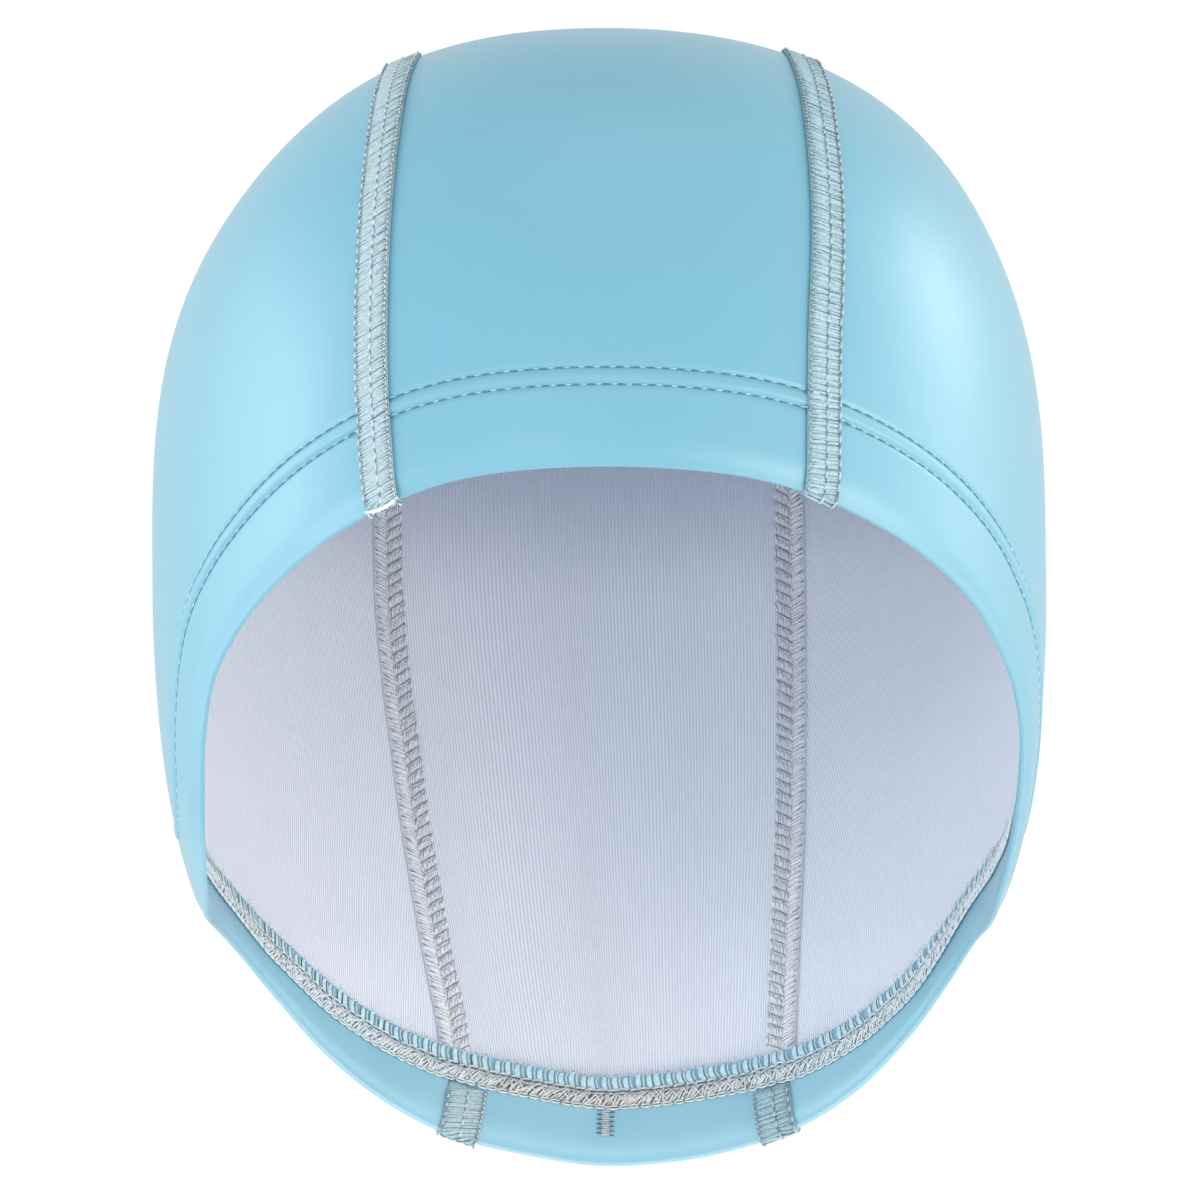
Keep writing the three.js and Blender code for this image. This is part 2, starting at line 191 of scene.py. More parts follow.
def walked_to(points):
    """The distance walked along a line of points, up to each of them."""
    return np.concatenate([[0], np.cumsum(np.linalg.norm(np.diff(points, axis=0), axis=1))])


RING = np.arange(-200, 380.1, 0.25)
RING_RIM = rim_point(RING)
RING_ALONG = unit(rim_point(RING + 0.5) - rim_point(RING - 0.5))
RING_UP = unit(np.cross(RING_ALONG, outward(RING_RIM)))
RING_UP = RING_UP * np.where(RING_UP[:, 2:] < 0, -1, 1)
RING_P = on_cloth(RING_RIM + RING_UP * FOLD_DROP)
RING_OUT = outward(RING_P)
RING_WALKED = walked_to(RING_P)


def read(table, at, steps):
    """Rows of a table of vectors at places between its steps, by straight lines."""
    return np.stack([np.interp(at, steps, table[:, k]) for k in range(3)], -1)


def fold_start(azimuth):
    """Start of the hem's fold: a point of the coated face and the ways up the cloth and outwards."""
    p, up, out = (read(table, azimuth, RING) for table in (RING_P, RING_UP, RING_OUT))
    return p, unit(up), unit(out)


FULL_TURN = np.interp([-180, 180], RING, RING_WALKED)
print(f"the rim is {np.ptp(FULL_TURN):.0f} mm round")

# %% [markdown]
# ## The seams
# Each seam is a sideways place for every angle over the head. A panel ends at the seam, so the seam's
# climb above the fold has to be known too: it is measured against the walked rim and smoothed.

# %% The seams
SEAM_GAP = 0.15
SIDES = {"left": -1, "right": 1}

# Angle over the head, level ahead being 0, then each seam's place from side to side.
SEAM = np.array([
    [44, -37.2, 36.2], [50, -38.2, 36.3], [56, -39.4, 36.8], [62, -38.8, 37.9], [70, -36.7, 37.3],
    [80, -34.4, 35.8], [104, -36.4, 36.8], [127, -39.4, 38.8], [140, -35.3, 38.3],
    [152, -30.7, 36.5], [163, -27, 35.2], [180, -26.4, 33.9],
])


def seam_point(side, angle, aside=0.0):
    """A seam's point at an angle over the head, moved `aside` off the middle panel along the cloth."""
    turn = np.radians(angle)
    level = np.zeros_like(turn)
    start = np.stack([column(SEAM, 1 if side < 0 else 2, angle), level, level + CORE[2]], -1)
    p = leave(start, np.stack([level, -np.cos(turn), np.sin(turn)], -1))
    if aside == 0:
        return p
    along = seam_point(side, angle + 0.5) - seam_point(side, angle - 0.5)
    across = unit(np.cross(along, outward(p)))
    return p + across * np.sign(across[..., :1]) * side * aside


def above_fold(p, azimuths):
    """Each point's nearest place on the fold's start: azimuth, and distance square to the rim."""
    near = (RING > azimuths[0]) & (RING < azimuths[1])
    apart = p[:, None] - RING_P[near]
    best = np.linalg.norm(apart, axis=-1).argmin(1)
    apart = apart[np.arange(len(p)), best]
    along = RING_ALONG[near][best]
    past = (apart * along).sum(-1)
    square = apart - along * past[:, None]
    height = np.linalg.norm(square, axis=-1) * np.sign((square * RING_UP[near][best]).sum(-1))
    step = 0.25 / np.gradient(RING_WALKED[near])[best]
    return RING[near][best] + past * step, height


def seam_climb(side, aside, end):
    """Smooth curves for a seam's angle and azimuth by height above the fold, at brow 0 or nape 1."""
    angle = np.linspace(62, 44, 300) if end == 0 else np.linspace(146, 178, 500)
    ahead = side * 25 if end == 0 else 180 - side * 20
    azimuth, height = above_fold(seam_point(side, angle, aside), (ahead - 35, ahead + 35))
    kept = (height > -3) & (height < 34)
    fit = np.polynomial.Polynomial.fit
    return fit(height[kept], angle[kept], 4), fit(height[kept], azimuth[kept], 4)


CLIMB = {
    (side, aside, end): seam_climb(side, aside, end)
    for side in (-1, 1)
    for aside in (-SEAM_GAP, 0.0, SEAM_GAP)
    for end in (0, 1)
}
for (side, aside, end), (angle, azimuth) in CLIMB.items():
    if aside == 0:
        print(side, end, "the seam meets the fold at", round(float(angle(0)), 2), round(float(azimuth(0)), 2))

# %% [markdown]
# ## Meshes from grids
# Each piece is a grid of points and the triangles between neighbours. A cloth has two faces, so its grid
# is used twice, with a wall along every open edge. This keeps the wall's thickness and the true edge
# that shows at the rim, and a Solidify modifier isn't needed.

# %% Mesh helpers
ORIGIN = np.array([0, 0, CLOTH - CROWN_RISE])


def to_frame(points):
    """Working millimetres to the frame's metres, with the crown's inner face at height 0."""
    return (points + ORIGIN) / 1000


def grid_triangles(ids):
    """Two triangles for each cell of a grid of point numbers, without those that have no area."""
    a, b, c, d = ids[:-1, :-1], ids[1:, :-1], ids[1:, 1:], ids[:-1, 1:]
    both = np.concatenate([np.stack([a, b, c], -1), np.stack([a, c, d], -1)]).reshape(-1, 3)
    real = (both[:, 0] != both[:, 1]) & (both[:, 1] != both[:, 2]) & (both[:, 2] != both[:, 0])
    return both[real]


def shell(high, low, triangles):
    """Both faces of a cloth, and two wall triangles along every edge that only one triangle has."""
    count = len(high)
    edges = np.concatenate([triangles[:, [0, 1]], triangles[:, [1, 2]], triangles[:, [2, 0]]])
    open_edge = ~np.isin(edges @ [count, 1], edges @ [1, count])
    a, b = edges[open_edge].T
    walls = np.concatenate([np.stack([a, a + count, b + count], -1), np.stack([a, b + count, b], -1)])
    return np.concatenate([high, low]), np.concatenate([triangles, triangles[:, ::-1] + count, walls])


def facing_out(points, triangles):
    """The triangles, all turned over if the volume that they close is below zero."""
    a, b, c = points[triangles].transpose(1, 0, 2)
    volume = (a * np.cross(b, c)).sum()
    return triangles if volume > 0 else triangles[:, ::-1]


def make_piece(name, points, triangles, finishes, finish=None, uv=None, crease=60):
    """A smooth-shaded object at the origin, riding on the cap, from working millimetres."""
    mesh = bpy.data.meshes.new(name)
    mesh.from_pydata(to_frame(points), [], triangles)
    for material in finishes:
        mesh.materials.append(material)
    if finish is not None:
        mesh.polygons.foreach_set("material_index", finish.astype(np.int32))
    if uv is not None:
        layer = mesh.uv_layers.new(name="cloth_mm")
        layer.data.foreach_set("uv", uv[triangles.ravel()].astype(np.float32).ravel())
    mesh.shade_smooth()
    mesh.set_sharp_from_angle(angle=math.radians(crease))
    piece = bpy.data.objects.new(name, mesh)
    bpy.context.scene.collection.objects.link(piece)
    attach(piece, "root")
    print(f"{name}: {len(triangles)} triangles")
    return piece


# %% Material helpers
def linear(code):
    """An sRGB hex colour as linear values: c / 12.92 near black, else ((c + 0.055) / 1.055)^2.4."""
    c = np.array([int(code[i : i + 2], 16) for i in (1, 3, 5)]) / 255
    return (*np.where(c <= 0.04045, c / 12.92, ((c + 0.055) / 1.055) ** 2.4), 1.0)


def new_material(name, colour, roughness):
    """A material with its nodes and its shader, whose even values are set on its own sockets."""
    material = bpy.data.materials.new(name)
    material.use_nodes = True
    shader = material.node_tree.nodes["Principled BSDF"]
    shader.inputs["Base Color"].default_value = linear(colour)
    shader.inputs["Roughness"].default_value = roughness
    return material, material.node_tree, shader


def add(tree, kind, settings=None, values=None, links=None):
    """A node with its settings, its unlinked inputs' values and its inputs' links."""
    node = tree.nodes.new(kind)
    for key, value in (settings or {}).items():
        setattr(node, key, value)
    for key, value in (values or {}).items():
        node.inputs[key].default_value = value
    for key, socket in (links or {}).items():
        tree.links.new(socket, node.inputs[key])
    return node


def colours(tree, factor, stops):
    """A colour ramp over a factor, with its stops as (place, hex colour)."""
    ramp = add(tree, "ShaderNodeValToRGB", links={"Fac": factor})
    stripes = ramp.color_ramp.elements
    while len(stripes) < len(stops):
        stripes.new(0.5)
    for stripe, (place, code) in zip(stripes, stops):
        stripe.position = place
        stripe.color = linear(code)
    return ramp.outputs["Color"]


# %% [markdown]
# ## The cloth's two faces
# The outside is a polyester and elastane knit with a thin skin of polyurethane: smooth, a little satin,
# with wide soft highlights and hardly a trace of the knit. It could be one even blue, but a real coat
# varies a little in tone and the knit below it shows as a faint grain, so both are in the nodes. Low
# down, towards the nape's rim, its blue is paler: painted light for the flap and the lower back. The
# inside is the uncoated face of the same knit, whose wales run as fine ribs. It is white, and darker
# towards the crown: painted shade, which deepens the brow's shadow inside the cap.

# %% Coated outside
# A cast coat over a knit: an even satin gloss that spreads each highlight, with a faint grain.
coated, tree, shader = new_material("polyurethane_coated_polyester_knit", "#70adc1", 0.42)
shader.inputs["IOR"].default_value = 1.48
shader.inputs["Coat Weight"].default_value = 0.75
shader.inputs["Coat Roughness"].default_value = 0.4
place_m = add(tree, "ShaderNodeTexCoord").outputs["Object"]
cloud = add(tree, "ShaderNodeTexNoise", values={"Scale": 28, "Detail": 3}, links={"Vector": place_m})
height_m = add(tree, "ShaderNodeSeparateXYZ", links={"Vector": place_m}).outputs["Z"]

# How far down a place is, about 0 at the crown and 1 at the nape's rim, with some cloud in it.
down = add(tree, "ShaderNodeMath", {"operation": "MULTIPLY_ADD"}, {1: -5.1, 2: -0.1}, {0: height_m})
clouded = add(
    tree,
    "ShaderNodeMath",
    {"operation": "MULTIPLY_ADD"},
    {1: 0.2},
    {0: cloud.outputs["Fac"], 2: down.outputs[0]},
)
# The pale stop low down is painted light on the flap and the lower back; the cloud is the coat's own uneven
# tone.
tone = colours(tree, clouded.outputs[0], [(0.0, "#6babc0"), (0.72, "#6eabc0"), (0.95, "#98cada")])
tree.links.new(tone, shader.inputs["Base Color"])
grain = add(tree, "ShaderNodeTexNoise", values={"Scale": 1400, "Detail": 2}, links={"Vector": place_m})
swell = add(tree, "ShaderNodeTexNoise", values={"Scale": 90, "Detail": 2}, links={"Vector": place_m})
fine = add(
    tree,
    "ShaderNodeBump",
    values={"Strength": 0.25, "Distance": 0.00008},
    links={"Height": grain.outputs["Fac"]},
)
bump = add(
    tree,
    "ShaderNodeBump",
    values={"Strength": 0.3, "Distance": 0.0009},
    links={"Height": swell.outputs["Fac"], "Normal": fine.outputs["Normal"]},
)
tree.links.new(bump.outputs["Normal"], shader.inputs["Normal"])

# %% Knitted inside
# A plain knit of fine yarn: matt, with ribs one wale apart that loops cross more faintly, in millimetres.
WALE = 0.56
COURSE = 0.42
lining, tree, shader = new_material("uncoated_polyester_knit_face", "#ecf0f8", 0.85)
shader.inputs["Specular IOR Level"].default_value = 0.2
cloth_mm = add(tree, "ShaderNodeUVMap", {"uv_map": "cloth_mm"}).outputs["UV"]
parts = add(tree, "ShaderNodeSeparateXYZ", links={"Vector": cloth_mm})


def wave(tree, socket, pitch):
    """A smooth wave from 0 to 1 that repeats every `pitch` along a coordinate."""
    turned = add(tree, "ShaderNodeMath", {"operation": "MULTIPLY"}, {1: 2 * math.pi / pitch}, {0: socket})
    swing = add(tree, "ShaderNodeMath", {"operation": "SINE"}, links={0: turned.outputs[0]})
    half = add(tree, "ShaderNodeMath", {"operation": "MULTIPLY_ADD"}, {1: 0.5, 2: 0.5}, {0: swing.outputs[0]})
    return half.outputs[0]


ribs = wave(tree, parts.outputs["X"], WALE)
loops = wave(tree, parts.outputs["Y"], COURSE)
knit = add(
    tree, "ShaderNodeMix", {"data_type": "FLOAT"}, {"Factor": 0.25}, {"A": ribs, "B": loops}
).outputs["Result"]
tone = colours(tree, knit, [(0.1, "#d1d8e7"), (0.55, "#ecf0f8"), (0.9, "#f6f9fe")])
place_m = add(tree, "ShaderNodeTexCoord").outputs["Object"]
height_m = add(tree, "ShaderNodeSeparateXYZ", links={"Vector": place_m}).outputs["Z"]

# How much painted shade darkens the knit towards the crown: none 88 mm below the crown, nearly full 55 mm
# below it.
crown_shade = add(
    tree,
    "ShaderNodeMapRange",
    {"interpolation_type": "SMOOTHSTEP"},
    {"From Min": -0.088, "From Max": -0.055, "To Min": 0.0, "To Max": 0.8},
    {"Value": height_m},
).outputs["Result"]

# A mixer of colours takes its factor, A and B by number, and gives its result as the third output.
MIX_FACTOR, MIX_A, MIX_B, MIX_RESULT = 0, 6, 7, 2
# The grey-blue mixed in towards the crown is painted shade, which deepens the brow's shadow inside the cap.
tone = add(
    tree,
    "ShaderNodeMix",
    {"data_type": "RGBA"},
    {MIX_B: linear("#b6c0d2")},
    {MIX_FACTOR: crown_shade, MIX_A: tone},
).outputs[MIX_RESULT]
tree.links.new(tone, shader.inputs["Base Color"])
bump = add(tree, "ShaderNodeBump", values={"Strength": 0.6, "Distance": 0.0002}, links={"Height": knit})
tree.links.new(bump.outputs["Normal"], shader.inputs["Normal"])

# %% [markdown]
# ## Panels
# Each panel is one grid: the flap turned in, the fold, a band above the fold whose rows keep their
# distance from the rim, and the body up to the seam or to the other hem. The fold is pressed flatter
# than the hem above it, and the flap is narrower behind the ears. A cloth simulation would give
# wrinkles that a filled, stretched cap doesn't have, so the relief of the hem is worked out instead.

# %% Rows of a hem
FLAP_ROWS = np.concatenate([np.linspace(HEM_DEPTH, 4.4, 14), [3.2, 2.2, 1.4, 0.7]])
FOLD_TURNS = np.linspace(1, 0, 9)
BAND_ROWS = np.concatenate(
    [[0.7, 1.4, 2.2, 3.2, 4.6], np.linspace(6.2, 11.5, 5), np.linspace(12, 18, 21), [19, 20.5, 22, 23.5]]
)
NEEDLE_ROWS = (13.6, 16.8)

# The share that a press takes off the fold's thickness, and how high above the fold it still works.
PRESSED_OFF = 0.6
PRESS_REACH = 2.2


def tunnel(height):
    """Relief of the hem's twin needle rows: a low ridge between them and a narrow dip at each."""
    low, high = NEEDLE_ROWS
    ridge = 0.3 * np.exp(-(((height - (low + high) / 2) / 1.05) ** 4))
    dips = sum(np.exp(-(((height - row) / 0.45) ** 2)) for row in NEEDLE_ROWS)
    return ridge - 0.28 * dips


def pinch(height):
    """The share left of the hem's thickness: 1 - pressed off * exp(-(height / reach)^2)."""
    return 1 - PRESSED_OFF * np.exp(-((height / PRESS_REACH) ** 2))


def folded(azimuth, turn, lift):
    """Round the fold, turn 0 the outer wall and 1 the flap: half an ellipse, as the fold is pressed."""
    p, up, out = fold_start(azimuth)
    radius = (FOLD_RADIUS + lift) * pinch(0.0)
    drop = FOLD_DROP * (FOLD_RADIUS + lift) / FOLD_RADIUS
    return p + out * (radius * np.cos(np.pi * turn) - FOLD_RADIUS) - up * drop * np.sin(np.pi * turn)


def turned_in(azimuth, distance, lift):
    """The flap at a distance from the fold, less where the hem narrows, its coated face to the hollow."""
    p, up, _ = fold_start(azimuth)
    past = np.degrees(np.arccos(np.clip(np.cos(np.radians(azimuth)), -1, 1)))
    nearer = column(NARROWS, 1, past) * min(distance / COVER_FROM, 1)
    inwards = (FOLD_RADIUS + lift) * pinch(distance)
    return on_cloth(p + up * (distance - nearer)[:, None], -FOLD_RADIUS - inwards)


def standing(azimuth, height, lift):
    """The outer wall at a height above the fold."""
    p, up, _ = fold_start(azimuth)
    return on_cloth(p + up * height, (FOLD_RADIUS + lift) * pinch(height) - FOLD_RADIUS)


def hem_rows(azimuth_at, lift):
    """Rows of a hem from the flap's raw edge to the band's top, at one lift off the coated face.

    `azimuth_at(height)` is the columns' place round the rim at a height above the fold.
    """
    start = azimuth_at(0.0)
    relief = tunnel(BAND_ROWS) * (lift == 0)
    rows = [turned_in(start, d, lift) for d in FLAP_ROWS]
    rows += [folded(start, turn, lift) for turn in FOLD_TURNS]
    rows += [standing(azimuth_at(h), h, lift + r) for h, r in zip(BAND_ROWS, relief)]
    return np.stack(rows)


# %% Middle panel
ACROSS = 60
ALONG = 180
TOP = BAND_ROWS[-1]

# How wide the panel counts for the knit's pattern, so that the ribs run along it without a break.
RIBBED_WIDTH = 70


def patch(top, bottom, left, right):
    """A grid stretched between four edges: the blends of facing edges less the blend of the corners."""
    v = np.linspace(0, 1, len(left))[:, None, None]
    u = np.linspace(0, 1, len(top))[None, :, None]
    rows = (1 - v) * top + v * bottom
    columns = (1 - u) * left[:, None] + u * right[:, None]
    corners = (1 - v) * ((1 - u) * top[0] + u * top[-1]) + v * ((1 - u) * bottom[0] + u * bottom[-1])
    return rows + columns - corners


def middle_panel(lift):
    """Brow hem, body and nape hem as one grid of points at one lift off the coated face."""
    share = np.linspace(0, 1, ACROSS + 1)
    hems, ends = [], []
    for end in (0, 1):
        (left_angle, left), (right_angle, right) = (CLIMB[side, -SEAM_GAP, end] for side in (-1, 1))
        hems.append(hem_rows(lambda h: left(h) + (right(h) - left(h)) * share, lift))
        ends.append((left_angle(TOP), right_angle(TOP)))
    seams = [
        seam_point(side, np.linspace(ends[0][k], ends[1][k], ALONG + 1), -SEAM_GAP)
        for k, side in enumerate((-1, 1))
    ]
    body = on_cloth(patch(hems[0][-1], hems[1][-1], *seams), lift)
    return np.concatenate([hems[0], body[1:-1], hems[1][::-1]])


high, low = middle_panel(0.0), middle_panel(-CLOTH)
rows, columns = high.shape[:2]
across = (np.linspace(0, 1, columns) - 0.5) * RIBBED_WIDTH
along = walked_to(low[:, columns // 2])
uv = np.stack(np.broadcast_arrays(across[None], along[:, None]), -1).reshape(-1, 2)
triangles = grid_triangles(np.arange(rows * columns).reshape(rows, columns))
points, faces = shell(high.reshape(-1, 3), low.reshape(-1, 3), triangles)
finish = np.arange(len(faces)) >= len(triangles)
faces = facing_out(points, faces)
middle = make_piece("middle_panel_cloth", points, faces, [coated, lining], finish, np.tile(uv, (2, 1)))
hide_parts("middle_panel")

# %% Side panels
ROUND_EAR = 200
UP_SIDE = 50

# The mean radius of the plan, which turns an azimuth into millimetres for the knit's pattern.
PLAN_RADIUS = 86

# How far a rib leans along the rim for each millimetre that it climbs.
RIB_LEAN = {"left": 0.2, "right": -0.33}


def side_panel(side, lift):
    """Hem rows round the ear, then rows that close in on the seam, at one lift off the coated face."""
    (front_angle, front), (back_angle, back) = (CLIMB[side, SEAM_GAP, end] for end in (0, 1))
    share = np.linspace(0, 1, ROUND_EAR + 1)
    around = 0 if side > 0 else 360
    hem = hem_rows(lambda h: front(h) + (back(h) - around - front(h)) * share, lift)
    seam = seam_point(side, np.linspace(front_angle(TOP), back_angle(TOP), ROUND_EAR + 1), SEAM_GAP)
    up = np.linspace(0, 1, UP_SIDE + 1)[1:, None, None]
    return np.concatenate([hem, on_cloth(hem[-1] * (1 - up) + seam * up, lift)])


def side_numbers(rows, columns, hem):
    """Point numbers of a side panel's grid, whose body rows all end in the hem's two top corners."""
    numbers = np.arange(rows * columns).reshape(rows, columns)
    numbers[hem:, 0] = numbers[hem - 1, 0]
    numbers[hem:, -1] = numbers[hem - 1, -1]
    return numbers


HEM_ROWS = len(FLAP_ROWS) + len(FOLD_TURNS) + len(BAND_ROWS)
for name, side in SIDES.items():
    high, low = side_panel(side, 0.0), side_panel(side, -CLOTH)
    rows, columns = high.shape[:2]
    triangles = grid_triangles(side_numbers(rows, columns, HEM_ROWS))
    used, triangles = np.unique(triangles, return_inverse=True)
    triangles = triangles.reshape(-1, 3)
    high, low = high.reshape(-1, 3)[used], low.reshape(-1, 3)[used]
    points, faces = shell(high, low, triangles)
    finish = np.arange(len(faces)) >= len(triangles)
    turn = np.radians(azimuth_of(low) * side % 360) * side
    uv = np.stack([PLAN_RADIUS * turn + RIB_LEAN[name] * low[:, 2], low[:, 2]], -1)
    faces = facing_out(points, faces)
    uv = np.tile(uv, (2, 1))
    cloth = make_piece(f"side_panel_{name}_cloth", points, faces, [coated, lining], finish, uv)
    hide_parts(f"side_panel_{name}")

# %% [markdown]
# ## Thread laid on the cloth
# Every stitch is placed by how far it is along a line on the cloth, how far aside and how high above it.
# So a line keeps its points and its ways along, across and off the cloth, and thread is a bundle of
# small tubes whose centre lines are given in those three distances.


# %% Lines and strands
def line_on_cloth(points, out, spread=1.0):
    """A line's points, the distance walked to each, and its ways across (to the right of along) and out.

    Where `spread` is more than 1, things laid on the line are that much wider.
    """
    across = unit(np.cross(unit(np.gradient(points, axis=0)), out)) * np.reshape(spread, (-1, 1))
    return {"walked": walked_to(points), "points": points, "across": across, "out": unit(out)}


def place(line, s, aside, lift):
    """Points at distances along a line, moved aside on the cloth and lifted off it."""
    p, across, out = (read(line[key], s, line["walked"]) for key in ("points", "across", "out"))
    return p + across * np.asarray(aside)[..., None] + out * np.asarray(lift)[..., None]


def strands(line, s, aside, lift, width, height, sides=4):
    """Tubes round threads given as rows of s, aside and lift.

    Each ring is an ellipse, `width` along the cloth and `height` off it: cos(turn) * width / 2 across and
    sin(turn) * height / 2 above, times sin(pi * share of the thread)^0.4, which closes its two ends.
    """
    s, aside, lift = np.broadcast_arrays(s, aside, lift)
    centre = place(line, s, aside, lift)
    out = read(line["out"], s, line["walked"])
    along = unit(np.gradient(centre, axis=1))
    across = unit(np.cross(along, out))
    above = np.cross(across, along)
    count, steps = s.shape
    blunt = np.sin(np.pi * np.linspace(0.03, 0.97, steps)) ** 0.4
    turn = 2 * np.pi * np.arange(sides) / sides
    wide = np.cos(turn)[:, None] * across[:, :, None] * width / 2
    tall = np.sin(turn)[:, None] * above[:, :, None] * height / 2
    rings = centre[:, :, None] + (wide + tall) * blunt[:, None, None]
    ids = np.arange(steps * sides).reshape(steps, sides)
    tube = grid_triangles(np.column_stack([ids, ids[:, 0]]))
    fan = np.stack([np.zeros(sides - 2, int), np.arange(1, sides - 1), np.arange(2, sides)], -1)
    tube = np.concatenate([tube, fan, fan[:, ::-1] + (steps - 1) * sides])
    triangles = (tube + np.arange(count)[:, None, None] * steps * sides).reshape(-1, 3)
    points = rings.reshape(-1, 3)
    return points, facing_out(points, triangles)


def joined(parts):
    """Several (points, triangles) as one, with a finish number for each part's triangles."""
    before = np.cumsum([0] + [len(points) for points, _ in parts[:-1]])
    points = np.concatenate([points for points, _ in parts])
    triangles = np.concatenate([faces + start for (_, faces), start in zip(parts, before)])
    finish = np.concatenate([np.full(len(faces), k) for k, (_, faces) in enumerate(parts)])
    return points, triangles, finish


rng = np.random.default_rng(7)

# %% [markdown]
# ## Thread
# Seam thread is textured nylon: many loose curled fibres, so it is pale and soft with hardly any gloss.
# One such fibre is too fine to show, so the threads are drawn two to three times too coarse and a small
# cloud of two near tones stands for the fibres. Thread that lies deep has the blue of the coat in it,
# so it has a finish of its own. Where threads dive into the cloth, and in the gaps between bundles, the
# darker finishes are painted shade.


# %% Thread finishes
def thread(name, colour, light, roughness=0.75):
    """Textured nylon: two near tones in clouds of half a millimetre, with a bump to match, no gloss."""
    material, tree, shader = new_material(name, colour, roughness)
    shader.inputs["Specular IOR Level"].default_value = 0.3
    where = add(tree, "ShaderNodeTexCoord").outputs["Object"]
    fuzz = add(tree, "ShaderNodeTexNoise", values={"Scale": 1800, "Detail": 2}, links={"Vector": where})
    tone = colours(tree, fuzz.outputs["Fac"], [(0.35, colour), (0.65, light)])
    tree.links.new(tone, shader.inputs["Base Color"])
    bump = add(
        tree,
        "ShaderNodeBump",
        values={"Strength": 0.5, "Distance": 0.0002},
        links={"Height": fuzz.outputs["Fac"]},
    )
    tree.links.new(bump.outputs["Normal"], shader.inputs["Normal"])
    return material


white_thread = thread("white_textured_nylon_thread", "#d0dbdf", "#e8eef0")
pale_thread = thread("pale_pearl_nylon_thread", "#a9bbc3", "#c6d0d5")
mint_thread = thread("pale_mint_nylon_thread", "#9dbdc6", "#b6cfd5")
# A darker copy of the pale thread: painted shade for the outer bands' dips, ties and ticks.
shade_thread = thread("grey_nylon_thread_in_shade", "#6f868f", "#879ca4")
thread_bed = thread("thread_bed_over_blue_knit", "#8fb2be", "#a5c2cb")
lining_thread = thread("grey_looper_thread", "#e2e6ec", "#f6f8fa")
lining_bed = thread("grey_looper_thread_bed", "#dadfe6", "#eaedf2")
# Dark grey: painted shade in the chain's hollows, and the tack's dark legs.
dark_and_shade_thread = thread("dark_grey_thread_and_painted_shade", "#545b62", "#6d747b")
# A darker copy of the looper thread: painted shade for the inner bands' ties and knots.
lining_shade = thread("grey_looper_thread_in_shade", "#7d848e", "#959ba5")
hem_thread = thread("beige_grey_looper_thread", "#c4c7c6", "#e6e6e2")
hem_bed = thread("beige_grey_thread_bed", "#86918f", "#a3adab")
# Needle thread drawn dark teal: painted shade where it sinks into the cloth.
needle_shade = thread("needle_stitch_painted_shade", "#507c8a", "#6191a0")
# The needle thread's pale blue where it lies on top, partly painted highlight.
needle_light = thread("pale_blue_needle_thread", "#8cc5d6", "#b3e0eb")
stray_thread = thread("pale_blue_overlock_thread", "#b4d9e4", "#d6eef3")

# %% [markdown]
# ## Seam bands outside
# A flat seam joins two cut edges side by side: three needle threads run along it and spreader threads
# cross the whole band between them. So each band is a low padded bed, bundles of thread across it, and
# three rows of needle stitches. The left band's threads are slanted and paler, the right band's are
# level and let more of the blue through. Both bands follow the cloth round the fold of the hem and end
# on its flap, and at the brow a thicker turn of thread lies under the left band's fold.

# %% Seam lines
BAND_WIDTH = 6.6

# Towards its end at the nape a band spreads by a fifth, over 12 mm that start 30 mm before the end.
NAPE_SPREAD = 0.2


def outer_line(side):
    """A seam's line over the cloth, from the flap inside the brow round both folds to the nape's flap."""
    (brow_angle, brow), (nape_angle, nape) = (CLIMB[side, 0.0, end] for end in (0, 1))
    flap = np.linspace(COVER_FROM - 0.3, 0.1, 50)
    turns = np.linspace(1, 0, 13)
    points, ways = [], []
    for end, azimuth in ((0, brow(0.0)), (1, nape(0.0))):
        azimuth = np.full(1, azimuth)
        _, up, out = fold_start(azimuth)
        inside = np.concatenate([turned_in(azimuth, d, 0.0) for d in flap])
        fold = np.concatenate([folded(azimuth, turn, 0.0) for turn in turns])
        round_it = out * np.cos(np.pi * turns)[:, None] - up * np.sin(np.pi * turns)[:, None]
        line = np.concatenate([inside, fold])
        way = np.concatenate([-outward(inside), round_it])
        points.append(line if end == 0 else line[::-1])
        ways.append(way if end == 0 else way[::-1])
    seam = seam_point(side, np.linspace(brow_angle(0.3), nape_angle(0.3), 700))
    walked = walked_to(seam)
    wall = on_cloth(seam, FOLD_RADIUS * (pinch(np.minimum(walked, walked[-1] - walked) + 0.3) - 1))
    path = np.concatenate([points[0], wall, points[1]])
    left_to_go = walked_to(path[::-1])[::-1]
    wider = 1 + NAPE_SPREAD * np.clip((30 - left_to_go) / 12, 0, 1)
    return line_on_cloth(path, np.concatenate([ways[0], outward(wall), ways[1]]), wider)


OUTER = {name: outer_line(side) for name, side in SIDES.items()}
for name, line in OUTER.items():
    print(name, "band", round(line["walked"][-1]), "mm, right is", line["across"][300].round(1))


# %% Outer bands
def padded(aside, half, rise):
    """Height across a band, rise * sqrt(sin(pi * |aside| / half)): a soft lobe each side of the middle."""
    return rise * np.sin(np.pi * np.clip(np.abs(aside) / half, 0, 1)) ** 0.5


def bed(line, half, s_step, bottom, height_at):
    """A closed strip along a line, from `bottom` up to a height that depends on s and aside."""
    length = line["walked"][-1]
    s = np.linspace(0.1, length - 0.1, int(length / s_step))[:, None]
    aside = np.linspace(-half, half, 11)[None]
    s, aside = np.broadcast_arrays(s, aside)
    high = place(line, s, aside, height_at(s, aside)).reshape(-1, 3)
    low = place(line, s, aside, np.full(s.shape, bottom)).reshape(-1, 3)
    points, faces = shell(high, low, grid_triangles(np.arange(s.size).reshape(s.shape)))
    return points, facing_out(points, faces)


